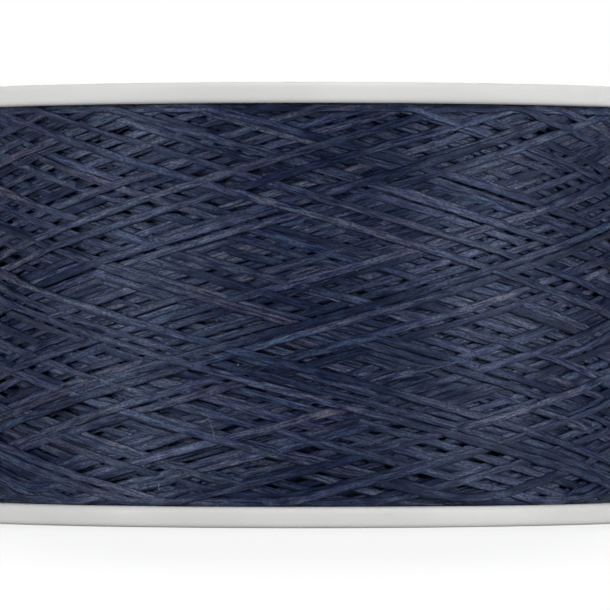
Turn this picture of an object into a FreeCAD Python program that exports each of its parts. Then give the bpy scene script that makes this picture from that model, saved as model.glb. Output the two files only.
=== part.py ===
import FreeCAD, Part
import Sketcher
import math
import os
import re

from FreeCAD import Placement, Rotation, Vector

# A cross-wound spool of flat sewing thread, standing on its lower flange.
# A board tube made of three paper plies joins two moulded flanges, and the thread
# is wound on the tube between them. The spool's axis is Z, and the centre of the
# face that it stands on is the origin. Lengths are in millimetres.

doc = FreeCAD.newDocument("thread_spool")

# Driving sizes
SIZES = [
    ("winding_width", 47.2, "thread package between the flanges"),
    ("winding_radius", 45.0, "outside of the thread"),
    ("flange_overhang", 3.0, "flange past the thread"),
    ("flange_thickness", 2.4, "flange at its rim"),
    ("rim_width", 2.5, "raised bead round the outer face"),
    ("rim_rounding", 0.7, "fillet on the rim's two edges"),
    ("label_recess", 0.4, "outer face set back inside the bead"),
    ("spindle_bore_radius", 8.0, "hole for the machine's spool pin"),
    ("hub_wall", 2.5, "collar round the spindle hole"),
    ("hub_depth", 9.0, "collar inside the tube"),
    ("spigot_depth", 8.0, "ring that centres the flange in the tube"),
    ("spigot_wall", 1.3, "ring's thickness"),
    ("spigot_gap", 0.15, "ring to tube, all round"),
    ("rib_thickness", 1.2, "rib between collar and ring"),
    ("rib_depth", 6.0, "rib's height above the flange"),
    ("rib_count", 6, "ribs in each flange"),
    ("slit_width", 0.6, "cut that holds the thread's end"),
    ("slit_depth", 5.0, "cut's length from the rim inwards"),
    ("slit_azimuth", 20.0, "cut's place round the flange, in degrees"),
    ("tube_bore_radius", 17.5, "inside of the tube"),
    ("liner_ply", 0.35, "thin paper inside the tube"),
    ("board_ply", 1.6, "grey board that carries the load"),
    ("cover_ply", 0.35, "smooth paper outside the tube"),
    ("glue_line", 0.05, "between two plies, and under the thread"),
    ("label_paper", 0.15, "round label's thickness"),
    ("label_margin", 1.5, "label to the bead, and to the collar"),
    ("thread_width", 1.0, "flat thread across its face"),
    ("thread_facets", 8, "flat sides round an outer turn"),
    ("crossing_gap", 0.5, "between rising and falling turns"),
    ("bedding_gap", 0.15, "turns to the older thread under them"),
    ("edge_gap", 0.45, "turns to the flanges"),
    ("pass_count", 40, "passes of the outer thread from flange to flange"),
    ("winding_angle", 16.8, "slope of a pass, in degrees"),
    ("turnback_angle", 14, "part of a turn in which a pass turns back, in degrees"),
]

sheet = doc.addObject("Spreadsheet::Sheet", "Sizes")
for row, (alias, value, meaning) in enumerate(SIZES, start=1):
    sheet.set("A%d" % row, str(value))
    sheet.set("B%d" % row, meaning)
    sheet.setAlias("A%d" % row, alias)
doc.recompute()


def sized(formula):
    """Point each size's name in a formula at the sheet."""
    return re.sub(r"[a-z]+_[a-z_]+", lambda name: "Sizes." + name.group(), formula)


# Radii and levels that several pieces share
FLANGE_RADIUS = "(winding_radius + flange_overhang)"
HUB_RADIUS = "(spindle_bore_radius + hub_wall)"
SPIGOT_RADIUS = "(tube_bore_radius - spigot_gap)"
SPIGOT_INSIDE = "(tube_bore_radius - spigot_gap - spigot_wall)"
BEAD_INSIDE = "(winding_radius + flange_overhang - rim_width)"
BOARD_INSIDE = "(tube_bore_radius + liner_ply + glue_line)"
COVER_INSIDE = "(tube_bore_radius + liner_ply + board_ply + 2 * glue_line)"
THREAD_INSIDE = "(tube_bore_radius + liner_ply + board_ply + cover_ply + 3 * glue_line)"
FALLING_RADIUS = "(winding_radius - thread_width / 2)"
RISING_RADIUS = "(winding_radius - 1.5 * thread_width - crossing_gap)"
OLDER_THREAD_RADIUS = "(winding_radius - 2 * thread_width - crossing_gap - bedding_gap)"
SPOOL_HEIGHT = "(winding_width + 2 * flange_thickness)"


def read(formula):
    """A formula's present value, from the sheet."""
    values = {alias: float(sheet.get(alias)) for alias, _, _ in SIZES}
    total = re.sub(r"[a-z]+_[a-z_]+", lambda name: repr(values[name.group()]), formula)
    return float(FreeCAD.Units.Quantity(total))


def new_body(label):
    body = doc.addObject("PartDesign::Body", label)
    body.Label = label
    return body


def origin_feature(body, role):
    return next(part for part in body.Origin.OriginFeatures if part.Role == role)


def new_sketch(body, name, plane_role):
    sketch = body.newObject("Sketcher::SketchObject", name)
    sketch.AttachmentSupport = [(origin_feature(body, plane_role), "")]
    sketch.MapMode = "FlatFace"
    return sketch


def constrain(sketch, formula, kind, *places):
    """Add one dimension to a sketch and bind it to the sheet."""
    index = sketch.addConstraint(Sketcher.Constraint(kind, *places, read(formula)))
    sketch.setExpression("Constraints[%d]" % index, sized(formula))


def draw_outline(sketch, corners):
    """A closed outline of straight sides whose corners are all given by formulas."""
    points = [Vector(read(across), read(up), 0) for across, up in corners]
    for start, end in zip(points, points[1:] + points[:1]):
        sketch.addGeometry(Part.LineSegment(start, end))
    for side in range(len(points)):
        last = (side - 1) % len(points)
        sketch.addConstraint(Sketcher.Constraint("Coincident", last, 2, side, 1))
    for side, (across, up) in enumerate(corners):
        constrain(sketch, across, "DistanceX", -1, 1, side, 1)
        if up == "0":
            sketch.addConstraint(Sketcher.Constraint("PointOnObject", side, 1, -1))
        else:
            constrain(sketch, up, "DistanceY", -1, 1, side, 1)


def draw_rectangle(sketch, near, far, width):
    """A rectangle along the sketch's X axis, centred on that axis."""
    half = "(%s / 2)" % width
    low = "(0 - %s / 2)" % width
    draw_outline(sketch, [(near, low), (far, low), (far, half), (near, half)])


def draw_ring(sketch, inside, outside):
    for index, radius in enumerate((inside, outside)):
        sketch.addGeometry(Part.Circle(Vector(0, 0, 0), Vector(0, 0, 1), read(radius)))
        sketch.addConstraint(Sketcher.Constraint("Coincident", index, 3, -1, 1))
        constrain(sketch, radius, "Radius", index)


def ring_piece(label, inside, outside, base, length):
    """A piece that is a plain ring about the spool's axis."""
    body = new_body(label)
    sketch = new_sketch(body, label + "_section", "XY_Plane")
    draw_ring(sketch, inside, outside)
    pad = body.newObject("PartDesign::Pad", label + "_pad")
    pad.Profile = sketch
    pad.setExpression("Length", sized(length))
    body.setExpression(".Placement.Base.z", sized(base))
    body.Tip = pad
    return body


def rim_edges(shape, radius):
    """Names of the circular edges that lie on the rim."""
    names = []
    for number, edge in enumerate(shape.Edges, start=1):
        if isinstance(edge.Curve, Part.Circle) and abs(edge.Curve.Radius - radius) < 1e-4:
            names.append("Edge%d" % number)
    return names


def flange_piece(label):
    """One moulded flange, outer face down: disc, bead, collar, centring ring, ribs and slit."""
    body = new_body(label)

    section = new_sketch(body, label + "_section", "XZ_Plane")
    spigot_top = "(flange_thickness + spigot_depth)"
    hub_top = "(flange_thickness + hub_depth)"
    draw_outline(section, [
        ("spindle_bore_radius", "0"),
        (HUB_RADIUS, "0"),
        (HUB_RADIUS, "label_recess"),
        (BEAD_INSIDE, "label_recess"),
        (BEAD_INSIDE, "0"),
        (FLANGE_RADIUS, "0"),
        (FLANGE_RADIUS, "flange_thickness"),
        (SPIGOT_RADIUS, "flange_thickness"),
        (SPIGOT_RADIUS, spigot_top),
        (SPIGOT_INSIDE, spigot_top),
        (SPIGOT_INSIDE, "flange_thickness"),
        (HUB_RADIUS, "flange_thickness"),
        (HUB_RADIUS, hub_top),
        ("spindle_bore_radius", hub_top),
    ])
    disc = body.newObject("PartDesign::Revolution", label + "_disc")
    disc.Profile = section
    disc.ReferenceAxis = (section, ["V_Axis"])
    disc.Angle = 360
    doc.recompute()

    rounding = body.newObject("PartDesign::Fillet", label + "_rim_rounding")
    rounding.Base = (disc, rim_edges(disc.Shape, read(FLANGE_RADIUS)))
    rounding.setExpression("Radius", sized("rim_rounding"))
    doc.recompute()

    rib_section = new_sketch(body, label + "_rib_section", "XY_Plane")
    rib_section.setExpression(".AttachmentOffset.Base.z", sized("flange_thickness"))
    draw_rectangle(rib_section, "(spindle_bore_radius + hub_wall / 2)",
                   "(tube_bore_radius - spigot_gap - spigot_wall / 2)", "rib_thickness")
    rib = body.newObject("PartDesign::Pad", label + "_rib")
    rib.Profile = rib_section
    rib.setExpression("Length", sized("rib_depth"))
    ribs = body.newObject("PartDesign::PolarPattern", label + "_ribs")
    ribs.Originals = [rib]
    ribs.Axis = (origin_feature(body, "Z_Axis"), [""])
    ribs.Angle = 360
    ribs.setExpression("Occurrences", sized("rib_count"))
    body.Tip = ribs
    doc.recompute()

    slit_section = new_sketch(body, label + "_slit_section", "XY_Plane")
    turned = Rotation(Vector(0, 0, 1), read("slit_azimuth"))
    slit_section.AttachmentOffset = Placement(Vector(0, 0, 0), turned)
    draw_rectangle(slit_section, "(winding_radius + flange_overhang - slit_depth)",
                   "(winding_radius + flange_overhang + slit_depth)", "slit_width")
    slit = body.newObject("PartDesign::Pocket", label + "_slit")
    slit.Profile = slit_section
    slit.Reversed = True
    slit.setExpression("Length", sized("2 * flange_thickness"))
    body.Tip = slit
    doc.recompute()
    if not slit.Shape.Volume < ribs.Shape.Volume:
        raise SystemExit("the slit cuts nothing in " + label)
    return body


# Flanges
lower_flange = flange_piece("lower_flange")
upper_flange = flange_piece("upper_flange")
upper_flange.Placement = Placement(Vector(0, 0, 0), Rotation(Vector(1, 0, 0), 180))
upper_flange.setExpression(".Placement.Base.z", sized(SPOOL_HEIGHT))

# Tube, from the inside out
tube_liner = ring_piece("tube_liner", "tube_bore_radius", "(tube_bore_radius + liner_ply)",
                        "flange_thickness", "winding_width")
tube_board = ring_piece("tube_board", BOARD_INSIDE, "(%s + board_ply)" % BOARD_INSIDE,
                        "flange_thickness", "winding_width")
tube_cover = ring_piece("tube_cover", COVER_INSIDE, "(%s + cover_ply)" % COVER_INSIDE,
                        "flange_thickness", "winding_width")

# Round paper labels, blank, in the recess of each flange's outer face
LABEL_INSIDE = "(%s + label_margin)" % HUB_RADIUS
LABEL_OUTSIDE = "(%s - label_margin)" % BEAD_INSIDE
lower_label = ring_piece("lower_label", LABEL_INSIDE, LABEL_OUTSIDE,
                         "(label_recess - label_paper)", "label_paper")
upper_label = ring_piece("upper_label", LABEL_INSIDE, LABEL_OUTSIDE,
                         "(%s - label_recess)" % SPOOL_HEIGHT, "label_paper")

# Older thread under the outer turns, which nothing shows of but its outside
thread_body = ring_piece("thread_body", THREAD_INSIDE, OLDER_THREAD_RADIUS,
                         "flange_thickness", "winding_width")


# Outer turns of thread: one unbroken length that rises and falls between the flanges.
# Each pass is a helix. Passes that rise lie under those that fall, and the thread
# changes from one radius to the other where it turns back.
def on_spool(radius, angle, level):
    return Vector(radius * math.cos(angle), radius * math.sin(angle), level)


def biarc(start, start_way, end, end_way):
    """Two tangent arcs from one point and direction to another, each as three points."""
    chord = end - start
    both_ways = start_way + end_way
    square = 2 * (1 - start_way.dot(end_way))
    linear = 2 * chord.dot(both_ways)
    constant = -chord.dot(chord)
    if square < 1e-9:
        reach = -constant / linear
    else:
        reach = (math.sqrt(linear * linear - 4 * square * constant) - linear) / (2 * square)
    first_corner = start + start_way * reach
    second_corner = end - end_way * reach
    middle = (first_corner + second_corner) * 0.5
    return [arc_by_corner(start, first_corner, middle), arc_by_corner(middle, second_corner, end)]


def arc_by_corner(start, corner, end):
    """The arc that leaves start towards the corner and reaches end from it."""
    foot = (start + end) * 0.5
    rise = corner - foot
    if rise.Length < 1e-6:
        return Part.makeLine(start, end)
    turn = math.atan2(rise.Length, (end - start).Length / 2)
    sagitta = (end - start).Length / 2 * math.tan(turn / 2)
    crown = foot + rise * (sagitta / rise.Length)
    return Part.Arc(start, crown, end).toShape()


def lap_count(passes, travel):
    """Turns round the spool: the odd number nearest to the winding angle's own that shares
    no factor with the passes, so that no pass lands on an older one."""
    lean = math.tan(math.radians(read("winding_angle")))
    wanted = passes * travel / lean / (2 * math.pi * read(RISING_RADIUS))
    choices = [laps for laps in range(1, int(2 * wanted) + 3) if math.gcd(laps, passes) == 1]
    return min(choices, key=lambda laps: abs(laps - wanted))


def square_end(point, way, radius, angle, wall):
    """The thread's end at a wall: its foot, its knee one width above, and the way it leaves."""
    inward = Vector(0, 0, 1 if point.z > wall else -1)
    rise = abs(point.z - wall) - read("thread_width")
    lean = math.tan(math.acos(abs(way.z)) / 2)
    if way.z * inward.z > 0:
        lean = -lean
    foot = on_spool(radius, angle + lean * rise / radius, wall)
    return foot, foot + inward * read("thread_width"), inward


def winding_path():
    """The edges that the outer thread's middle follows, from its first end to its last."""
    passes = int(read("pass_count"))
    lower_wall = read("flange_thickness")
    upper_wall = lower_wall + read("winding_width")
    low = lower_wall + read("edge_gap") + read("thread_width") / 2
    high = upper_wall - read("edge_gap") - read("thread_width") / 2
    sweep = 2 * math.pi * lap_count(passes, high - low) / passes
    turnback = math.radians(read("turnback_angle")) / 2

    places = []
    for number in range(passes):
        rising = number % 2 == 0
        radius = read(RISING_RADIUS if rising else FALLING_RADIUS)
        slope = (high - low) / (radius * (sweep - turnback)) * (1 if rising else -1)
        first_stop = turnback * (1.5 if number == 0 else 1)
        last_stop = sweep - turnback * (1.5 if number == passes - 1 else 1)
        for stop in (first_stop, sweep / 2, last_stop):
            angle = number * sweep + stop
            level = (low if rising else high) + slope * radius * (stop - turnback / 2)
            way = Vector(-math.sin(angle), math.cos(angle), slope).normalize()
            places.append((on_spool(radius, angle, level), way, radius, angle))

    foot, knee, inward = square_end(*places[0], lower_wall)
    edges = [Part.makeLine(foot, knee)]
    edges += biarc(knee, inward, places[0][0], places[0][1])
    for (start, start_way, _, _), (end, end_way, _, _) in zip(places, places[1:]):
        edges += biarc(start, start_way, end, end_way)
    foot, knee, inward = square_end(*places[-1], upper_wall if rising else lower_wall)
    edges += biarc(places[-1][0], places[-1][1], knee, inward * -1)
    edges += [Part.makeLine(knee, foot)]
    return edges


def least_gap(edges, thread_width, step=0.25):
    """The closest that the thread comes to itself, measured between points on its path."""
    points = []
    travelled = 0.0
    for edge in edges:
        count = max(2, int(edge.Length / step) + 1)
        for index, point in enumerate(edge.discretize(Number=count)[:-1]):
            points.append((point.x, point.y, point.z, travelled + edge.Length * index / (count - 1)))
        travelled += edge.Length
    cell = 3 * thread_width
    cells = {}
    for point in points:
        key = tuple(int(math.floor(value / cell)) for value in point[:3])
        cells.setdefault(key, []).append(point)
    nearest = cell
    own_stretch = 6 * thread_width
    for (i, j, k), held in cells.items():
        around = [other for di in (-1, 0, 1) for dj in (-1, 0, 1) for dk in (-1, 0, 1)
                  for other in cells.get((i + di, j + dj, k + dk), ())]
        for x, y, z, place in held:
            for other_x, other_y, other_z, other_place in around:
                if other_place - place > own_stretch:
                    nearest = min(nearest, math.dist((x, y, z), (other_x, other_y, other_z)))
    return nearest - thread_width


path_edges = winding_path()
path = Part.Wire(path_edges)
thread_radius = read("thread_width") / 2
facets = int(read("thread_facets"))
foot = path_edges[0].Vertexes[0].Point
corners = [foot + on_spool(thread_radius, 2 * math.pi * corner / facets, 0) for corner in range(facets)]
section = Part.makePolygon(corners + corners[:1])
thread_turns = doc.addObject("Part::Feature", "thread_turns")
thread_turns.Label = "thread_turns"
thread_turns.Shape = path.makePipeShell([section], True, False)

facet_area = thread_radius ** 2 * math.sin(2 * math.pi / facets) / 2
expected = path.Length * facets * facet_area
tightest = min(edge.Curve.Radius for edge in path_edges if isinstance(edge.Curve, Part.Circle))
print("outer thread: length %.0f mm, volume %.2f against %.2f, tightest bend %.2f mm"
      % (path.Length, thread_turns.Shape.Volume, expected, tightest))
print("outer thread: least gap to itself %.3f mm" % least_gap(path_edges, read("thread_width")))

# Check the document, then write one file for each piece
doc.recompute()
for part in doc.Objects:
    if "Invalid" in part.State or "Error" in part.State:
        raise SystemExit("%s did not build: %s" % (part.Label, part.State))
pieces = [lower_flange, upper_flange, tube_liner, tube_board, tube_cover,
          lower_label, upper_label, thread_body, thread_turns]
for piece in pieces:
    if piece.Shape.isNull() or not piece.Shape.isValid():
        raise SystemExit(piece.Label + " has no valid shape")
os.makedirs("parts", exist_ok=True)
for piece in pieces:
    piece.Shape.exportStep("parts/%s.step" % piece.Label)
    box = piece.Shape.BoundBox
    print("%-14s solids %d  volume %9.1f  x %.2f %.2f  y %.2f %.2f  z %.2f %.2f" % (
        piece.Label, len(piece.Shape.Solids), piece.Shape.Volume,
        box.XMin, box.XMax, box.YMin, box.YMax, box.ZMin, box.ZMax))
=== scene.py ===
import math

import bmesh
import bpy
import numpy as np
from mathutils import Matrix, Vector


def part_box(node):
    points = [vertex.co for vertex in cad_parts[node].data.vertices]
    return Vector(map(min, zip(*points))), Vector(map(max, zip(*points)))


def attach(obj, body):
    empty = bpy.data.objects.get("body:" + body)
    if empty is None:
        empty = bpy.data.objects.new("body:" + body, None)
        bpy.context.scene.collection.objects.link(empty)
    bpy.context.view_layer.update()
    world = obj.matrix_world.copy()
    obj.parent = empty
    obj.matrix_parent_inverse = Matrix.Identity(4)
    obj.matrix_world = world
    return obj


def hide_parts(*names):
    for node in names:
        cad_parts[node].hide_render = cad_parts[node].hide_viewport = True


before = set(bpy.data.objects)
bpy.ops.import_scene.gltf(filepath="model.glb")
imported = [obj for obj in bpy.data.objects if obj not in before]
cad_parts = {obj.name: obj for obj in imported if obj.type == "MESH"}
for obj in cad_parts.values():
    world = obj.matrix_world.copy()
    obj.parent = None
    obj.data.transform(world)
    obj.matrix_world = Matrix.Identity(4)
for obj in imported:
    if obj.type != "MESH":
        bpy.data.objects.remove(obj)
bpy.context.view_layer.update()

# The view. The camera stands level with the middle of the winding and looks straight
# along +Y with a long lens, so that only the middle of the spool's width is in the frame
# and both flanges' edges stay nearly straight.
inner_floor, inner_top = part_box("thread_body")
mid_height = (inner_floor.z + inner_top.z) / 2
camera_distance = 0.900
eye = bpy.data.cameras.new("eye")
eye.sensor_width = 36
eye.lens = 432
camera = bpy.data.objects.new("camera", eye)
bpy.context.scene.collection.objects.link(camera)
camera.location = (0, -camera_distance, mid_height)
camera.rotation_euler = (math.radians(90), 0, 0)
bpy.context.scene.camera = camera


# Flanges. Two like discs of white moulded plastic close the ends of the tube. Each has a
# bead round its outer face, a collar for the machine's pin, a ring that centres it in
# the tube, six ribs between the two, and a slit in the rim for the thread's end.
mm = 0.001
sides_round = 192
rim_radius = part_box("lower_flange")[1].x
disc_thickness = inner_floor.z
spool_height = inner_floor.z + inner_top.z
bead_width, bead_height = 2.5 * mm, 0.4 * mm
ring_radius, ring_wall, ring_height = 17.35 * mm, 1.3 * mm, 8.0 * mm
collar_radius, collar_wall, collar_height = 10.5 * mm, 2.5 * mm, 9.0 * mm
rib_count, rib_height, rib_thickness = 6, 6.0 * mm, 1.2 * mm
slit_width, slit_depth, slit_azimuth = 0.6 * mm, 5.0 * mm, math.radians(20)
slit_end_radius = 0.75 * slit_width
parting_bottom, parting_top = 0.47 * disc_thickness, 0.51 * disc_thickness
parting_ridge = 0.03 * mm
rim_rounding, ring_rounding, bead_rounding = 0.7 * mm, 0.35 * mm, 0.18 * mm


def same(first, second):
    """Whether two heights are the same, to a thousandth of a millimetre."""
    return abs(first - second) < 0.001 * mm


def pick_faces(test):
    """In edit mode, select only the faces whose centre radius, height and normal pass the test."""
    bpy.ops.mesh.select_mode(type="FACE")
    bpy.ops.mesh.select_all(action="DESELECT")
    edited = bmesh.from_edit_mesh(bpy.context.object.data)
    for face in edited.faces:
        centre = face.calc_center_median()
        face.select_set(bool(test(math.hypot(centre.x, centre.y), centre.z, face.normal.z)))
    bmesh.update_edit_mesh(bpy.context.object.data)


def pick_edges(test):
    """In edit mode, select only the sharp ring edges whose radius and height pass the test."""
    bpy.ops.mesh.select_mode(type="EDGE")
    bpy.ops.mesh.select_all(action="DESELECT")
    edited = bmesh.from_edit_mesh(bpy.context.object.data)
    for edge in edited.edges:
        start, end = edge.verts[0].co, edge.verts[1].co
        sharp = len(edge.link_faces) == 2 and edge.calc_face_angle() > math.radians(35)
        edge.select_set(sharp and same(start.z, end.z) and bool(test(start.xy.length, start.z)))
    bmesh.update_edit_mesh(bpy.context.object.data)


def raise_picked(height):
    """Raise the picked faces, with new walls from where they were."""
    bpy.ops.mesh.extrude_region_move(TRANSFORM_OT_translate={"value": (0, 0, height)})


def combine(piece, tool, operation):
    """Join a tool's shape to the piece, or cut it away, and delete the tool."""
    boolean = piece.modifiers.new("boolean", "BOOLEAN")
    boolean.operation = operation
    boolean.solver = "EXACT"
    boolean.object = tool
    bpy.ops.object.select_all(action="DESELECT")
    bpy.context.view_layer.objects.active = piece
    piece.select_set(True)
    bpy.ops.object.modifier_apply(modifier=boolean.name)
    bpy.data.objects.remove(tool)


def moulded_disc():
    """One flange with its outer face down, without its ribs and slit."""
    bpy.ops.object.select_all(action="DESELECT")
    bpy.ops.mesh.primitive_cylinder_add(
        vertices=sides_round, radius=rim_radius, depth=disc_thickness,
        location=(0, 0, disc_thickness / 2))
    bpy.ops.object.transform_apply(location=True)
    bpy.ops.object.mode_set(mode="EDIT")

    # On the inner face stand the centring ring and the collar.
    pick_faces(lambda radius, height, normal: same(height, disc_thickness))
    bpy.ops.mesh.inset(thickness=rim_radius - ring_radius)
    bpy.ops.mesh.inset(thickness=ring_wall)
    bpy.ops.mesh.inset(thickness=ring_radius - ring_wall - collar_radius)
    bpy.ops.mesh.inset(thickness=collar_wall)
    pick_faces(lambda radius, height, normal: (
        same(height, disc_thickness) and ring_radius - ring_wall < radius < ring_radius))
    raise_picked(ring_height)
    pick_faces(lambda radius, height, normal: (
        same(height, disc_thickness) and collar_radius - collar_wall < radius < collar_radius))
    raise_picked(collar_height)

    # The outer face is sunk for the label, between the bead and the collar.
    pick_faces(lambda radius, height, normal: same(height, 0))
    bpy.ops.mesh.inset(thickness=bead_width)
    bpy.ops.mesh.inset(thickness=rim_radius - bead_width - collar_radius)
    bpy.ops.mesh.inset(thickness=collar_wall)
    pick_faces(lambda radius, height, normal: (
        same(height, 0) and collar_radius < radius < rim_radius - bead_width))
    raise_picked(bead_height)

    # The hole for the pin runs through the collar.
    pick_faces(lambda radius, height, normal: radius < mm)
    bpy.ops.mesh.delete(type="FACE")
    bpy.ops.mesh.select_mode(type="EDGE")
    bpy.ops.mesh.select_all(action="DESELECT")
    edited = bmesh.from_edit_mesh(bpy.context.object.data)
    for edge in edited.edges:
        edge.select_set(edge.is_boundary)
    bmesh.update_edit_mesh(bpy.context.object.data)
    bpy.ops.mesh.bridge_edge_loops()

    # The mould's parting line is a thin ridge round the rim.
    rim_side = rim_radius - 0.1 * mm
    for cut in (parting_bottom, parting_top):
        pick_faces(lambda radius, height, normal: radius > rim_side and abs(normal) < 0.1)
        bpy.ops.mesh.bisect(plane_co=(0, 0, cut), plane_no=(0, 0, 1), threshold=0.001 * mm)
    pick_faces(lambda radius, height, normal: (
        radius > rim_side and parting_bottom < height < parting_top))
    bpy.ops.mesh.extrude_region_move()
    ridge = 1 + parting_ridge / rim_radius
    bpy.ops.transform.resize(value=(ridge, ridge, 1), center_override=(0, 0, disc_thickness / 2))

    # The edges are softened: the rim's, those of ring and collar, and those of the bead.
    pick_edges(lambda radius, height: (
        radius > rim_side and (same(height, 0) or same(height, disc_thickness))))
    bpy.ops.mesh.bevel(offset=rim_rounding, segments=5, affect="EDGES", clamp_overlap=False)
    pick_edges(lambda radius, height: height > disc_thickness + mm)
    bpy.ops.mesh.bevel(offset=ring_rounding, segments=3, affect="EDGES", clamp_overlap=False)
    pick_edges(lambda radius, height: same(height, 0))
    bpy.ops.mesh.bevel(offset=bead_rounding, segments=3, affect="EDGES", clamp_overlap=False)
    bpy.ops.mesh.select_all(action="SELECT")
    bpy.ops.mesh.normals_make_consistent(inside=False)
    bpy.ops.object.mode_set(mode="OBJECT")
    return bpy.context.object


def bar(length, width, height, place, azimuth):
    """A bar along the flange's radius, turned to its azimuth, for a rib or a cut."""
    bpy.ops.object.select_all(action="DESELECT")
    bpy.ops.mesh.primitive_cube_add(size=1, location=(place, 0, height / 2))
    shaped = bpy.context.object
    shaped.scale = (length, width, height)
    bpy.ops.object.transform_apply(location=True, scale=True)
    shaped.data.transform(Matrix.Rotation(azimuth, 4, "Z"))
    return shaped


def flange_mesh():
    """The whole flange: the disc with its six ribs, and the slit with its round end."""
    disc = moulded_disc()
    rib_start = collar_radius - collar_wall / 2
    rib_end = ring_radius - ring_wall / 2
    for number in range(rib_count):
        rib = bar(rib_end - rib_start, rib_thickness, rib_height + disc_thickness / 2,
                  (rib_start + rib_end) / 2, math.radians(360 / rib_count * number))
        rib.data.transform(Matrix.Translation((0, 0, disc_thickness / 2)))
        combine(disc, rib, "UNION")
    slit = bar(2 * slit_depth, slit_width, 4 * disc_thickness, rim_radius, slit_azimuth)
    slit.data.transform(Matrix.Translation((0, 0, -disc_thickness)))
    combine(disc, slit, "DIFFERENCE")
    slit_start = rim_radius - slit_depth
    bpy.ops.object.select_all(action="DESELECT")
    bpy.ops.mesh.primitive_cylinder_add(
        vertices=32, radius=slit_end_radius, depth=4 * disc_thickness,
        location=(slit_start * math.cos(slit_azimuth), slit_start * math.sin(slit_azimuth),
                  disc_thickness / 2))
    bpy.ops.object.transform_apply(location=True)
    combine(disc, bpy.context.object, "DIFFERENCE")
    bpy.ops.object.select_all(action="DESELECT")
    disc.select_set(True)
    bpy.context.view_layer.objects.active = disc
    bpy.ops.object.shade_smooth_by_angle(angle=math.radians(32))
    return disc


def new_finish(name):
    """A new material, with its shader's inputs and its links."""
    material = bpy.data.materials.new(name)
    material.use_nodes = True
    return material, material.node_tree.nodes["Principled BSDF"].inputs, material.node_tree.links


def add_noise(material, scale, detail, roughness=0.5, stretch=(1, 1, 1)):
    """A noise pattern on the piece's own coordinates, in a material."""
    nodes, links = material.node_tree.nodes, material.node_tree.links
    place = nodes.new("ShaderNodeTexCoord")
    mapping = nodes.new("ShaderNodeMapping")
    mapping.inputs["Scale"].default_value = stretch
    noise = nodes.new("ShaderNodeTexNoise")
    noise.inputs["Scale"].default_value = scale
    noise.inputs["Detail"].default_value = detail
    noise.inputs["Roughness"].default_value = roughness
    links.new(place.outputs["Object"], mapping.inputs["Vector"])
    links.new(mapping.outputs["Vector"], noise.inputs["Vector"])
    return noise.outputs["Fac"]


def add_ramp(material, source, stops):
    """Colours, or greys given as single numbers, spread over a pattern."""
    nodes, links = material.node_tree.nodes, material.node_tree.links
    node = nodes.new("ShaderNodeValToRGB")
    while len(node.color_ramp.elements) < len(stops):
        node.color_ramp.elements.new(0.5)
    for element, (position, colour) in zip(node.color_ramp.elements, stops):
        element.position = position
        element.color = (*colour, 1) if isinstance(colour, tuple) else (colour, colour, colour, 1)
    links.new(source, node.inputs["Fac"])
    return node.outputs["Color"]


def add_bump(material, source, distance, strength=1.0):
    """Relief from a pattern, of the given depth, on the material's shader."""
    nodes, links = material.node_tree.nodes, material.node_tree.links
    bump = nodes.new("ShaderNodeBump")
    bump.inputs["Strength"].default_value = strength
    bump.inputs["Distance"].default_value = distance
    links.new(source, bump.inputs["Height"])
    links.new(bump.outputs["Normal"], nodes["Principled BSDF"].inputs["Normal"])


def white_moulding():
    """Satin white polystyrene: faint cloudiness, uneven polish and the mould's fine texture."""
    material, shader, links = new_finish("white_moulding")
    cloud = add_noise(material, 60, 3)
    white_tones = [(0.35, (0.79, 0.79, 0.775)), (0.65, (0.85, 0.85, 0.84))]
    links.new(add_ramp(material, cloud, white_tones), shader["Base Color"])
    polish = add_noise(material, 260, 4, 0.6)
    links.new(add_ramp(material, polish, [(0.35, 0.40), (0.65, 0.56)]), shader["Roughness"])
    shader["Specular IOR Level"].default_value = 0.3
    add_bump(material, add_noise(material, 2600, 3, 0.6), 0.006 * mm)
    return material


lower_flange = flange_mesh()
lower_flange.name = lower_flange.data.name = "lower_flange_moulding"
upper_flange = bpy.data.objects.new("upper_flange_moulding", lower_flange.data.copy())
bpy.context.scene.collection.objects.link(upper_flange)
turned_over = Matrix.Translation((0, 0, spool_height)) @ Matrix.Rotation(math.pi, 4, "X")
upper_flange.data.transform(turned_over)
moulding = white_moulding()
for flange, node in ((lower_flange, "lower_flange"), (upper_flange, "upper_flange")):
    flange.data.materials.append(moulding)
    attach(flange, "root")
    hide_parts(node)


# Tube. Three plies of paper are wound in a spiral and glued: a thin brown liner, the
# grey board that carries the load, and a smooth pale cover that the thread lies on.
# Where one strip meets the next, a darker joint climbs round each ply.
seam_pitch = 62 * mm
seam_shade = 0.45
seam_half = 0.006        # half the joint's width, as a share of the pitch
fibre_stretch = (1, 1, 0.35)


def multiplied(material, first, second):
    """One colour pattern toned by another."""
    nodes, links = material.node_tree.nodes, material.node_tree.links
    mix = nodes.new("ShaderNodeMix")
    mix.data_type = "RGBA"
    mix.blend_type = "MULTIPLY"
    mix.inputs["Factor"].default_value = 1
    links.new(first, mix.inputs["A"])
    links.new(second, mix.inputs["B"])
    return mix.outputs["Result"]


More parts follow.
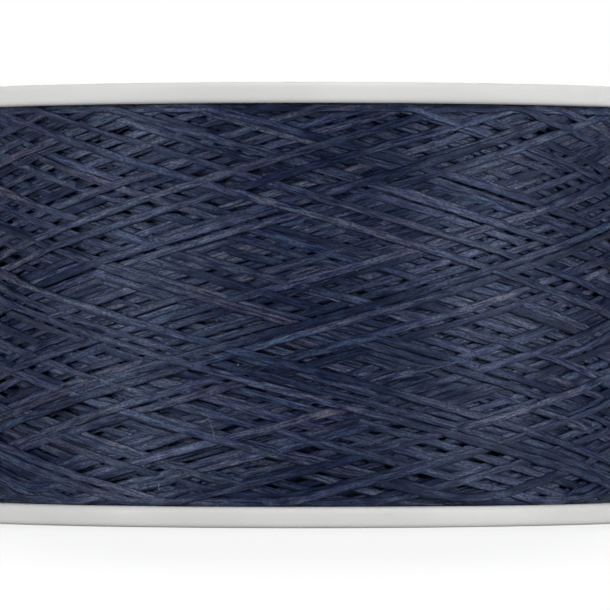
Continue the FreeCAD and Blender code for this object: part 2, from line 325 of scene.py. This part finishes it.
def wound_paper(name, darker, paler):
    """Paper with its fibres, and the spiral joint."""
    material, shader, links = new_finish(name)
    nodes = material.node_tree.nodes
    fibres = add_noise(material, 900, 5, 0.65, fibre_stretch)
    fibre_colour = add_ramp(material, fibres, [(0.32, darker), (0.68, paler)])
    place = nodes.new("ShaderNodeTexCoord")
    split = nodes.new("ShaderNodeSeparateXYZ")
    links.new(place.outputs["Object"], split.inputs["Vector"])

    def combined(operation, *values):
        node = nodes.new("ShaderNodeMath")
        node.operation = operation
        for socket, value in zip(node.inputs, values):
            if isinstance(value, float):
                socket.default_value = value
            else:
                links.new(value, socket)
        return node.outputs["Value"]

    azimuth = combined("ARCTAN2", split.outputs["Y"], split.outputs["X"])
    turns = combined("DIVIDE", azimuth, 2 * math.pi)
    climb = combined("DIVIDE", split.outputs["Z"], seam_pitch)
    spiral = combined("FRACT", combined("ADD", turns, climb))
    seam = add_ramp(material, spiral, [
        (0.0, seam_shade), (seam_half, 1.0), (1 - seam_half, 1.0), (1.0, seam_shade)])
    links.new(multiplied(material, fibre_colour, seam), shader["Base Color"])
    shader["Roughness"].default_value = 0.82
    add_bump(material, add_noise(material, 1800, 4, 0.6, fibre_stretch), 0.03 * mm)
    return material


for node, darker, paler in (
        ("tube_liner", (0.30, 0.20, 0.12), (0.42, 0.30, 0.19)),
        ("tube_board", (0.24, 0.21, 0.18), (0.36, 0.33, 0.29)),
        ("tube_cover", (0.58, 0.55, 0.49), (0.72, 0.70, 0.64))):
    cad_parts[node].material_slots[0].material = wound_paper(node + "_paper", darker, paler)


# Labels. A blank round paper label is glued into the shallow recess of each flange's
# outer face, inside the bead. Its only print is a thin ring near each edge.
printed_rings = ((13.5 * mm, 13.85 * mm), (42.1 * mm, 42.8 * mm))
ink_blur = 0.05 * mm
pattern_reach = 50 * mm
ink, blank = (0.05, 0.06, 0.10), (1.0, 1.0, 1.0)


def label_paper_finish():
    """Off-white uncoated paper: fibres, a slight cockle, and the two printed rings."""
    material, shader, links = new_finish("label_paper_finish")
    nodes = material.node_tree.nodes
    fibres = add_noise(material, 1400, 5, 0.7)
    paper_tones = [(0.3, (0.72, 0.705, 0.66)), (0.7, (0.82, 0.81, 0.775))]
    sheet_colour = add_ramp(material, fibres, paper_tones)
    place = nodes.new("ShaderNodeTexCoord")
    flat = nodes.new("ShaderNodeVectorMath")
    flat.operation = "MULTIPLY"
    flat.inputs[1].default_value = (1 / pattern_reach, 1 / pattern_reach, 0)
    radius = nodes.new("ShaderNodeVectorMath")
    radius.operation = "LENGTH"
    links.new(place.outputs["Object"], flat.inputs[0])
    links.new(flat.outputs["Vector"], radius.inputs[0])
    stops = [(0.0, blank)]
    for start, end in printed_rings:
        tones = ((start - ink_blur, blank), (start, ink), (end, ink), (end + ink_blur, blank))
        stops += [(edge / pattern_reach, tone) for edge, tone in tones]
    rings = add_ramp(material, radius.outputs["Value"], stops)
    links.new(multiplied(material, sheet_colour, rings), shader["Base Color"])
    shader["Roughness"].default_value = 0.72
    add_bump(material, add_noise(material, 160, 4, 0.6), 0.05 * mm, 0.8)
    return material


label_sheet = label_paper_finish()
for node in ("lower_label", "upper_label"):
    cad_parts[node].material_slots[0].material = label_sheet


# Thread. One unbroken length of flat, low-twist staple thread, 1 mm across, is wound on
# the tube from flange to flange and back, taut, so that it lies flat on the turns under
# it and bridges their hollows. The older passes are laid first and show only in the gaps.

# Up to the meshes, this section works in millimetres on the unrolled outside of the
# winding: u is the way round it, z the height, and the pile maps how high the thread lies.
thread_width, thread_thickness = 1.00, 0.28
older_passes, outer_passes = 140, 400
crossing_angle = 16.0
steepening = 1.1         # degrees that a pass gains from mid height to the upper flange
unrolled_radius, outside_radius = 44.0, 44.75
cell = 0.2               # side of one cell of the pile
point_step = 0.4         # way between two points of a laid thread
edge_margin = 0.5        # least way between the thread's middle and a flange
pass_points, turn_points = 500, 24
chance = np.random.default_rng(11)

floor_z = inner_floor.z / mm
wall_z = inner_top.z / mm
columns = int(round(2 * math.pi * unrolled_radius / cell))
rows = int(math.ceil((wall_z - floor_z) / cell))
pile = np.zeros((columns, rows))


def slow_noise(length, reach):
    """Smooth noise of about unit size along a line of that many steps."""
    knots = chance.normal(size=int(length / reach) + 4)
    place = np.linspace(0, len(knots) - 1.001, length)
    first = place.astype(int)
    blend = place - first
    blend = blend * blend * (3 - 2 * blend)
    return knots[first] * (1 - blend) + knots[first + 1] * blend


def smooth(values, reach):
    """The values averaged over that many neighbours."""
    kernel = np.hanning(reach + 2)[1:-1]
    padded = np.pad(values, reach // 2, mode="edge")
    return np.convolve(padded, kernel / kernel.sum(), mode="valid")[:len(values)]


def cells(u, z):
    """The pile's cells under points on the unrolled outside."""
    column = (u / cell).astype(int) % columns
    row = np.clip(((z - floor_z) / cell).astype(int), 0, rows - 1)
    return column, row


def pass_line(start_u, start_z, end_z, lean):
    """One pass from flange to flange: its way round, which wanders a little, and its height."""
    heights = np.linspace(start_z, end_z, pass_points)
    middle = (floor_z + wall_z) / 2
    angles = np.radians(lean + steepening * (heights - middle) / (wall_z - middle))
    steps = np.abs(np.gradient(heights)) / np.tan(angles)
    round_it = start_u + np.cumsum(steps) + 0.20 * slow_noise(pass_points, 120)
    return round_it, heights


def turn_line(start_u, start_z, lean, length, sense):
    """The turn at a flange, from climbing to falling (sense 1) or back (sense -1)."""
    angles = math.radians(lean) * np.cos(np.linspace(0, math.pi, turn_points)) * sense
    step = length / (turn_points - 1)
    return start_u + np.cumsum(np.cos(angles)) * step, start_z + np.cumsum(np.sin(angles)) * step


def bedded(round_it, heights, shifts):
    """The shift round the spool that lets a pass sink deepest between its neighbours."""
    picked = slice(0, None, 12)
    across = np.array([-0.35, 0, 0.35]) * thread_width
    under = pile[cells(round_it[picked][None, :, None] + shifts[:, None, None],
                       heights[picked][None, :, None] + across)]
    cost = under.max(axis=2).mean(axis=1) + 0.012 * chance.normal(size=len(shifts))
    return shifts[cost.argmin()]


def taut(base, place, bend):
    """The line that a taut thread takes over the heights under it, on a round body."""
    lifted = base - bend * place * place / 2
    hull = [0]
    for index in range(1, len(base)):
        while len(hull) > 1:
            last, corner = hull[-2], hull[-1]
            rise = (lifted[corner] - lifted[last]) * (place[index] - place[last])
            if rise > (lifted[index] - lifted[last]) * (place[corner] - place[last]):
                break
            hull.pop()
        hull.append(index)
    return np.interp(place, place[hull], lifted[hull]) + bend * place * place / 2


def lay(round_it, heights):
    """Lay one stretch on the pile; gives its line, direction, level, tilt, width and thickness."""
    run = np.concatenate([[0], np.cumsum(np.hypot(np.diff(round_it), np.diff(heights)))])
    place = np.linspace(0, run[-1], int(run[-1] / point_step) + 2)
    u = np.interp(place, run, round_it)
    z = np.interp(place, run, heights)
    way_u, way_z = np.gradient(u, place), np.gradient(z, place)
    size = np.hypot(way_u, way_z)
    way_u, way_z = way_u / size, way_z / size

    # Its width and thickness vary, and here and there it is folded, so narrower and thicker.
    folded = np.clip(slow_noise(len(place), 26) - 1.3, 0, 0.6) / 0.6
    width = thread_width * (1 + 0.06 * slow_noise(len(place), 12) - 0.30 * folded)
    thick = thread_thickness * (1 + 0.10 * slow_noise(len(place), 14) + 0.45 * folded)

    # It rests on the pile under its width, leans with it, and is nearly taut.
    across = np.array([-0.42, -0.21, 0, 0.21, 0.42])[:, None] * width
    under = pile[cells(u - way_z * across, z + way_u * across)]
    ordered = np.sort(under, axis=0)
    base = 0.5 * (ordered[3] + ordered[2])
    tilt = np.clip((under[3] + under[4] - under[0] - under[1]) / (1.26 * width), -0.5, 0.5)
    tilt = smooth(tilt, 11) + 0.14 * slow_noise(len(place), 50) + 0.02 * slow_noise(len(place), 16)
    bend = math.cos(math.radians(crossing_angle)) ** 2 / unrolled_radius
    level = 0.12 * smooth(base, 7) + 0.88 * taut(base, place, bend) + thick * 0.38

    # The pile grows by the thread's rounded top.
    for share in np.linspace(-0.48, 0.48, 9):
        top = level + tilt * share * width + thick * math.sqrt(0.25 - share ** 2)
        np.maximum.at(pile, cells(u - way_z * share * width, z + way_u * share * width), top)
    return np.stack([u, z, way_u, way_z, level, tilt, width, thick])


# The passes are laid one after the other. Each starts with the turn at its flange, as long
# as bedding asks. At the flanges the turns end unevenly, more so at the lower one, where a
# turn that stays off the flange goes farther round.
stretches = []
u, z = 0.0, floor_z + 1.0
rising = True
drift = 0.0
for number in range(older_passes + outer_passes):
    if number == older_passes:
        older_pile = pile.copy()
    drift = 0.96 * drift + 0.10 * chance.normal()
    lean = crossing_angle + drift + 0.16 * chance.normal()
    if rising:
        far_z = wall_z - edge_margin - 0.5 * chance.random() ** 2
        farther = 12 * chance.random() if z - floor_z > 1.4 else 0
        shifts = 5 + 0.25 * np.arange(48) + farther
    else:
        far_z = floor_z + edge_margin + 3.4 * chance.random() ** 3
        shifts = 3 + 0.25 * np.arange(28)
    round_it, heights = pass_line(u, z, far_z, lean)
    shift = bedded(round_it, heights, shifts)
    turn_u, turn_heights = turn_line(u, z, lean, shift, -1 if rising else 1)
    line_u = np.concatenate([turn_u, round_it + turn_u[-1] - u])
    line_z = np.concatenate([turn_heights, heights])
    stretch = lay(line_u, np.clip(line_z, floor_z + edge_margin, wall_z - edge_margin))
    if number >= older_passes:
        stretches.append(stretch)
    u, z = stretch[0, -1], stretch[1, -1]
    rising = not rising

row_heights = floor_z + cell * (np.arange(rows) + 0.5)
even_level = smooth(pile.mean(axis=0), 41)


def settled(level, z):
    """Distance from the spool's axis, once the winding is pressed to an even outside."""
    return outside_radius + level - np.interp(z, row_heights, even_level)


# The thread's section is flat, with a rounded top and a keel. Its corners are given in
# shares of its width and thickness.
section = [(0.5, 0.0), (0.42, 0.27), (0.22, 0.43), (0.0, 0.47), (-0.22, 0.43),
           (-0.42, 0.27), (-0.5, 0.0), (0.0, -0.45)]
corner_count = len(section)
end_cap = np.array([(0, 1, 2, 7), (7, 2, 3, 6), (6, 3, 4, 5)])
# At V 0.3 the thread's top is clear of the painted shade at its edges.
top_v = 0.3              # place of the thread's top across it, for the finish of its ends
upright = np.array([0, 0, 1.0])


def on_package(u, z, level):
    """Points on the winding, and the ways out from it and round it at those points."""
    angle = u / unrolled_radius
    out = np.stack([np.cos(angle), np.sin(angle), np.zeros_like(angle)], 1)
    side = np.stack([-np.sin(angle), np.cos(angle), np.zeros_like(angle)], 1)
    return out * settled(level, z)[:, None] + upright * z[:, None], out, side


def flat_thread(line, travelled):
    """Corners, faces and surface coordinates of one length of flat thread, closed at its ends."""
    u, z, way_u, way_z, level, tilt, width, thick = line
    middle, out, side = on_package(u, z, level)
    across = upright * way_u[:, None] - side * way_z[:, None]
    frayed = 1 + 0.06 * chance.normal(size=(2, len(u)))
    rings = []
    for x, y in section:
        flat = x * width * frayed[0 if x > 0 else 1]
        high = y * thick + tilt * flat
        rings.append(middle + across * flat[:, None] + out * high[:, None])
    corners = np.stack(rings, 1).reshape(-1, 3) * mm
    count = len(u)
    ring, number = np.meshgrid(np.arange(count - 1), np.arange(corner_count), indexing="ij")
    here, there = ring * corner_count, (ring + 1) * corner_count
    following = (number + 1) % corner_count
    sides = np.stack([here + number, here + following, there + following, there + number], -1)
    last_ring = (count - 1) * corner_count
    faces = np.concatenate([sides.reshape(-1, 4), end_cap[:, ::-1], end_cap + last_ring])
    along = travelled + 2 * point_step * np.arange(count)
    u0, u1 = along[ring], along[ring + 1]
    v0, v1 = number / corner_count, (number + 1) / corner_count
    places = np.stack([np.stack([u0, v0], -1), np.stack([u0, v1], -1),
                       np.stack([u1, v1], -1), np.stack([u1, v0], -1)], 2).reshape(-1, 2)
    end_places = np.repeat([[along[0], top_v], [along[-1], top_v]], end_cap.size, axis=0)
    return corners, faces, np.concatenate([places, end_places]), along[-1]


def mesh_piece(name, corners, face_sets, places=None):
    """A smooth mesh object from corner points and sets of faces with three or four corners."""
    loops = np.concatenate([faces.ravel() for faces in face_sets])
    sizes = np.concatenate([np.full(len(faces), faces.shape[1]) for faces in face_sets])
    mesh = bpy.data.meshes.new(name)
    mesh.vertices.add(len(corners))
    mesh.vertices.foreach_set("co", np.asarray(corners, np.float32).ravel())
    mesh.loops.add(len(loops))
    mesh.loops.foreach_set("vertex_index", loops.astype(np.int32))
    mesh.polygons.add(len(sizes))
    mesh.polygons.foreach_set("loop_start", (np.cumsum(sizes) - sizes).astype(np.int32))
    mesh.update(calc_edges=True)
    if places is not None:
        layer = mesh.uv_layers.new(name="UVMap")
        layer.data.foreach_set("uv", np.asarray(places, np.float32).ravel())
    mesh.validate()
    mesh.shade_smooth()
    piece = bpy.data.objects.new(name, mesh)
    bpy.context.scene.collection.objects.link(piece)
    return piece


def navy_thread():
    """Navy staple fibre, painted along the thread: greyer and bluer lengths, teal, violet and
    brown flecks, streaks, grain, painted shade at its edges, and a gloss stretched along the
    fibres."""
    material, shader, links = new_finish("navy_thread")
    nodes = material.node_tree.nodes
    place = nodes.new("ShaderNodeUVMap")
    place.uv_map = "UVMap"

    def along_thread(scale_along, scale_across, detail):
        mapping = nodes.new("ShaderNodeMapping")
        mapping.inputs["Scale"].default_value = (scale_along, scale_across, 1)
        noise = nodes.new("ShaderNodeTexNoise")
        noise.inputs["Scale"].default_value = 1
        noise.inputs["Detail"].default_value = detail
        links.new(place.outputs["UV"], mapping.inputs["Vector"])
        links.new(mapping.outputs["Vector"], noise.inputs["Vector"])
        return noise.outputs["Fac"]

    lengths = add_ramp(material, along_thread(0.022, 0.2, 2), [
        (0.41, (0.0042, 0.0082, 0.0280)), (0.48, (0.0168, 0.0234, 0.0530)),
        (0.52, (0.0190, 0.0257, 0.0597)), (0.59, (0.0330, 0.0416, 0.0795))])
    tints = add_ramp(material, along_thread(0.03, 0.15, 1), [
        (0.38, (1.23, 1.02, 0.92)), (0.46, (0.94, 1.02, 0.94)),
        (0.54, (1.07, 0.98, 1.06)), (0.62, (0.82, 1.02, 1.06))])
    flecks = add_ramp(material, along_thread(0.5, 4, 3), [
        (0.37, (0.68, 0.53, 0.58)), (0.46, (0.76, 0.90, 0.98)),
        (0.54, (1.23, 1.05, 1.10)), (0.63, (1.38, 1.56, 1.40))])
    streaks = add_ramp(material, along_thread(0.35, 7, 3), [
        (0.39, (0.17, 0.25, 0.50)), (0.50, (1.38, 1.35, 1.29)), (0.61, (1.84, 1.73, 1.38))])
    grain_pattern = along_thread(2.6, 12, 3)
    fibres = add_ramp(material, grain_pattern, [
        (0.37, (0.33, 0.43, 0.64)), (0.50, (1.24, 1.21, 1.17)), (0.64, (1.65, 1.56, 1.31))])
    links.new(add_ramp(material, grain_pattern, [(0.37, 0.68), (0.63, 0.31)]), shader["Roughness"])

    # Across the thread, V runs from one edge at 0 over the top to the other edge at 0.75.
    across = nodes.new("ShaderNodeSeparateXYZ")
    links.new(place.outputs["UV"], across.inputs["Vector"])
    # Painted shade: the thread is painted darker and bluer towards both edges, where it meets its
    # neighbours, and lighter over its top.
    edge_painted_shade, top_unshaded_tone = (0.15, 0.24, 0.56), (1.16, 1.16, 1.13)
    edges = add_ramp(material, across.outputs["Y"], [
        (0.0, edge_painted_shade), (0.23, top_unshaded_tone), (0.52, top_unshaded_tone), (0.75, edge_painted_shade)])
    colour = lengths
    for layer in (tints, flecks, streaks, fibres, edges):
        colour = multiplied(material, colour, layer)
    links.new(colour, shader["Base Color"])
    add_bump(material, along_thread(0.4, 7, 3), 0.12 * mm)
    fibre_way = nodes.new("ShaderNodeTangent")
    fibre_way.direction_type = "UV_MAP"
    fibre_way.uv_map = "UVMap"
    links.new(fibre_way.outputs["Tangent"], shader["Tangent"])
    shader["Anisotropic"].default_value = 0.75
    shader["Anisotropic Rotation"].default_value = 0.25
    shader["Specular IOR Level"].default_value = 0.56
    shader["Specular Tint"].default_value = (0.55, 0.67, 1, 1)
    return material


# The outer passes are one thread, cut into eight meshes of up to 54 passes. Every second
# point is kept, and level, tilt, width and thickness are smoothed along the thread.
thread_finish = navy_thread()
passes_per_piece = 54
travelled = 0.0
for first in range(0, outer_passes, passes_per_piece):
    picked = stretches[first:first + passes_per_piece]
    joined = np.concatenate([stretch[:, 1:] for stretch in picked], axis=1)
    for row in range(4, 8):
        joined[row] = smooth(joined[row], 5)
    corners, faces, places, travelled = flat_thread(joined[:, ::2], travelled)
    layer_name = "thread_layer_%d" % (first // passes_per_piece + 1)
    turns = mesh_piece(layer_name, corners, [faces], places)
    turns.data.materials.append(thread_finish)
    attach(turns, "root")
    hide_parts("thread_turns")


# Older thread. The deeper turns are one closed ring whose outside has the relief of the
# passes laid on it, since only that outside shows, in the gaps of the turns above. It has
# the thread's finish, and as its V runs past 0.75, nearly all of it takes the painted shade
# of the thread's edges, so that the deeper turns are painted dark as shade.
ply_gap = 0.05
row_step = 0.18          # growth of V from one row of faces to the next
shown = older_pile[::2, ::2]
ring_count, level_count = shown.shape
inner_rows = np.arange(1, level_count - 1)
level_z = np.concatenate([[floor_z], floor_z + cell * (inner_rows * 2 + 0.5), [wall_z]])
level_r = settled(shown, level_z[None, :])
angle = 2 * math.pi * (np.arange(ring_count) + 0.25) / ring_count
outer = np.stack([level_r * np.cos(angle)[:, None], level_r * np.sin(angle)[:, None],
                  np.broadcast_to(level_z, level_r.shape)], -1)
tube_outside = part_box("tube_cover")[1].x / mm + ply_gap
inner = np.stack([np.stack([tube_outside * np.cos(angle), tube_outside * np.sin(angle),
                            np.full(ring_count, edge)], -1) for edge in (wall_z, floor_z)], 1)
corners = np.concatenate([outer, inner], 1)
per_ring = level_count + 2
ring, number = np.meshgrid(np.arange(ring_count), np.arange(per_ring), indexing="ij")
here, there = ring * per_ring, (ring + 1) % ring_count * per_ring
following = (number + 1) % per_ring
faces = np.stack([here + number, there + number, there + following, here + following], -1)
u0, u1 = ring * 2 * cell, (ring + 1) * 2 * cell
v0, v1 = number * row_step, (number + 1) * row_step
places = np.stack([np.stack([u0, v0], -1), np.stack([u1, v0], -1),
                   np.stack([u1, v1], -1), np.stack([u0, v1], -1)], 2).reshape(-1, 2)
older = mesh_piece("older_thread", corners.reshape(-1, 3) * mm, [faces.reshape(-1, 4)], places)
older.data.materials.append(thread_finish)
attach(older, "root")
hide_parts("thread_body")


# Fibre ends. Staple thread is hairy: short fibre ends stand a little off it all round, a
# few longer stray hairs lie across it, and specks of pale lint have settled on it. Sizes
# are in millimetres again, and the front of the spool is where the camera looks at it.
fibre_end_count, hair_count, speck_count = 16000, 12, 90
hairy_passes = 170       # only these last passes are hairy
fibre_radius, hair_radius = 0.023, 0.03
front = -math.pi / 2


def spindle(middle, way, out, thickness):
    """A fibre with three sides that runs through the points and tapers to a point at both ends."""
    side = np.cross(out, way)
    rings = [middle[:1]]
    for index in range(1, len(middle) - 1):
        rings.append(np.stack([
            middle[index] + thickness * (math.cos(turn) * side[index] + math.sin(turn) * out[index])
            for turn in (0.5, 2.6, 4.7)]))
    rings.append(middle[-1:])
    last = 1 + 3 * (len(middle) - 2)
    tips = [(0, 1 + (corner + 1) % 3, 1 + corner) for corner in range(3)]
    tips += [(last, last - 3 + corner, last - 3 + (corner + 1) % 3) for corner in range(3)]
    sides = []
    for start in range(1, last - 3, 3):
        for corner in range(3):
            following = (corner + 1) % 3
            sides.append((start + corner, start + following,
                          start + 3 + following, start + 3 + corner))
    return np.concatenate(rings), tips, sides


def fibre_piece(name, fibres):
    """One mesh of many fibres, each given as its points, ways and thickness."""
    corner_sets, tip_sets, side_sets = [], [], []
    offset = 0
    for middle, way, out, thickness in fibres:
        corners, tips, sides = spindle(middle, way, out, thickness)
        corner_sets.append(corners)
        tip_sets.append(np.array(tips) + offset)
        side_sets.append(np.array(sides) + offset)
        offset += len(corners)
    return mesh_piece(name, np.concatenate(corner_sets) * mm,
                      [np.concatenate(side_sets), np.concatenate(tip_sets)])


def fibre_end():
    """A short fibre end that leaves a random spot of the last passes at a small angle."""
    u, z, way_u, way_z, level, tilt, width, thick = stretches[-chance.integers(1, hairy_passes)]
    spot = chance.integers(4, len(u) - 4)
    aside = chance.uniform(-0.5, 0.5) * width[spot]
    turned = chance.normal() * 0.28
    way = (way_u[spot] * math.cos(turned) - way_z[spot] * math.sin(turned),
           way_z[spot] * math.cos(turned) + way_u[spot] * math.sin(turned))
    run = np.linspace(-0.5, 0.5, 4) * chance.uniform(0.6, 2.6)
    bow = chance.normal() * 0.12 * np.array([1, 0.1, 0.1, 1])
    line_u = u[spot] - way_z[spot] * aside + way[0] * run - way[1] * bow
    line_z = z[spot] + way_u[spot] * aside + way[1] * run + way[0] * bow
    top = level[spot] + tilt[spot] * aside + thick[spot] * 0.45
    lift = chance.uniform(0, 0.16) * np.linspace(0, 1, 4) ** 2
    inside = np.clip(line_z, floor_z + 0.1, wall_z - 0.1)
    middle, out, side = on_package(line_u, inside, top + lift)
    return middle, upright * way[1] + side * way[0], out, fibre_radius


def stray_hair(azimuth, height, lean, length, sweep, lift):
    """A long curved hair that lies on the winding and bows up from it in its middle."""
    turn = np.linspace(-0.5, 0.5, 14)
    heading = lean + sweep * turn
    line_u = unrolled_radius * azimuth + np.cumsum(np.cos(heading)) * length / len(turn)
    line_z = height + np.cumsum(np.sin(heading)) * length / len(turn)
    level = even_level[rows // 2] + 0.62 + lift * (1 - 4 * turn ** 2)
    inside = np.clip(line_z, floor_z + 0.2, wall_z - 0.2)
    middle, out, side = on_package(line_u, inside, level)
    way = upright * np.sin(heading)[:, None] + side * np.cos(heading)[:, None]
    return middle, way, out, hair_radius


def lint_speck(azimuth, height, size):
    """Corners of one speck of lint, an uneven grain with eight faces, pressed into the thread."""
    spot = np.array([unrolled_radius * azimuth])
    middle, out, side = on_package(spot, np.array([height]), even_level[rows // 2] + 0.42)
    axes = np.stack([side[0], upright, out[0]])
    reach = size * chance.uniform(0.6, 1.2, size=(2, 3))
    return np.concatenate([middle + axes * reach[0][:, None], middle - axes * reach[1][:, None]])


def pale_fibre(name, colour):
    """Thin undyed fibre, a little uneven in tone, that catches the light."""
    material, shader, links = new_finish(name)
    tones = [(position, tuple(share * tone for tone in colour))
             for position, share in ((0.35, 0.5), (0.65, 1.4))]
    links.new(add_ramp(material, add_noise(material, 500, 2), tones), shader["Base Color"])
    shader["Roughness"].default_value = 0.5
    return material


fibre_ends = fibre_piece("fibre_ends", [fibre_end() for number in range(fibre_end_count)])
fibre_ends.data.materials.append(pale_fibre("loose_fibre", (0.055, 0.068, 0.105)))

# The first hairs and specks are the ones to be seen from the front. The others lie anywhere.
hairs = [stray_hair(front - 0.258, 13.3, math.radians(-74), 3.9, -0.6, 0.5),
         stray_hair(front - 0.262, 20.4, math.radians(-24), 1.9, -0.9, 0.15),
         stray_hair(front - 0.387, 5.2, math.radians(-88), 1.0, 0.3, 0.2)]
for number in range(hair_count):
    hairs.append(stray_hair(
        chance.uniform(-0.6, 3.7), chance.uniform(8, 44), chance.uniform(-3, 3),
        chance.uniform(2, 5), chance.uniform(-1.5, 1.5), chance.uniform(0.2, 0.6)))
stray_hairs = fibre_piece("stray_hairs", hairs)
stray_hairs.data.materials.append(pale_fibre("pale_hair", (0.20, 0.23, 0.30)))

specks = [lint_speck(front - 0.174, 19.0, 0.10), lint_speck(front + 0.078, 7.9, 0.11)]
for number in range(speck_count):
    specks.append(lint_speck(
        chance.uniform(0, 2 * math.pi), chance.uniform(4, 48), chance.uniform(0.04, 0.09)))
octant_faces = np.array([(0, 1, 2), (1, 3, 2), (3, 4, 2), (4, 0, 2),
                         (1, 0, 5), (3, 1, 5), (4, 3, 5), (0, 4, 5)])
lint = mesh_piece("lint_specks", np.concatenate(specks) * mm,
                  [np.concatenate([octant_faces + 6 * number for number in range(len(specks))])])
lint.data.materials.append(pale_fibre("pale_lint", (0.34, 0.36, 0.40)))
for piece in (fibre_ends, stray_hairs, lint):
    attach(piece, "root")
    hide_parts("thread_turns")


# Floor, backdrop and light. A white studio: two soft lamps in front, to the left and to
# the right, give the two pale bands on the winding, and one behind and one above light
# the rest. Floor and world are white to the camera alone, and light the spool but little.
floor_grey, floor_glow = 0.62, 0.50
world_strength = 0.05
lamp_size = 0.50
white = bpy.data.materials.new("white_floor")
white.use_nodes = True
nodes, links = white.node_tree.nodes, white.node_tree.links
matt = nodes["Principled BSDF"]
matt.inputs["Base Color"].default_value = (floor_grey, floor_grey, floor_grey, 1)
matt.inputs["Roughness"].default_value = 0.8
glow = nodes.new("ShaderNodeEmission")
glow.inputs["Color"].default_value = (1, 1, 1, 1)
ray = nodes.new("ShaderNodeLightPath")
seen = nodes.new("ShaderNodeMath")
seen.operation = "MULTIPLY"
seen.inputs[1].default_value = floor_glow
both = nodes.new("ShaderNodeAddShader")
links.new(ray.outputs["Is Camera Ray"], seen.inputs[0])
links.new(seen.outputs["Value"], glow.inputs["Strength"])
links.new(matt.outputs["BSDF"], both.inputs[0])
links.new(glow.outputs["Emission"], both.inputs[1])
links.new(both.outputs["Shader"], nodes["Material Output"].inputs["Surface"])
bpy.ops.object.select_all(action="DESELECT")
bpy.ops.mesh.primitive_plane_add(size=8, location=(0, 0, 0))
floor = bpy.context.object
floor.name = "floor"
floor.data.materials.append(white)

world = bpy.data.worlds.new("studio")
bpy.context.scene.world = world
world.use_nodes = True
nodes, links = world.node_tree.nodes, world.node_tree.links
ambient = nodes["Background"]
ambient.inputs["Color"].default_value = (1, 1, 1, 1)
ambient.inputs["Strength"].default_value = world_strength
backdrop = nodes.new("ShaderNodeBackground")
backdrop.inputs["Color"].default_value = (1, 1, 1, 1)
backdrop.inputs["Strength"].default_value = 1
ray = nodes.new("ShaderNodeLightPath")
choice = nodes.new("ShaderNodeMixShader")
links.new(ray.outputs["Is Camera Ray"], choice.inputs["Fac"])
links.new(ambient.outputs["Background"], choice.inputs[1])
links.new(backdrop.outputs["Background"], choice.inputs[2])
links.new(choice.outputs["Shader"], nodes["World Output"].inputs["Surface"])

for name, azimuth, distance, height, power in (
        ("left_lamp", -54, 0.9, 0.25, 4.4), ("right_lamp", 57, 0.9, 0.25, 4.9),
        ("rear_lamp", 180, 0.9, 0.25, 3.7), ("top_lamp", 0, 0, 0.95, 3.5)):
    lamp = bpy.data.lights.new(name, "AREA")
    lamp.size = lamp_size
    lamp.energy = power
    stand = bpy.data.objects.new(name, lamp)
    bpy.context.scene.collection.objects.link(stand)
    way = math.radians(azimuth)
    stand.location = (distance * math.sin(way), -distance * math.cos(way), height)
    aim = Vector((0, 0, mid_height)) - stand.location
    stand.rotation_euler = aim.to_track_quat("-Z", "Y").to_euler()

bpy.context.scene.view_settings.view_transform = "Standard"
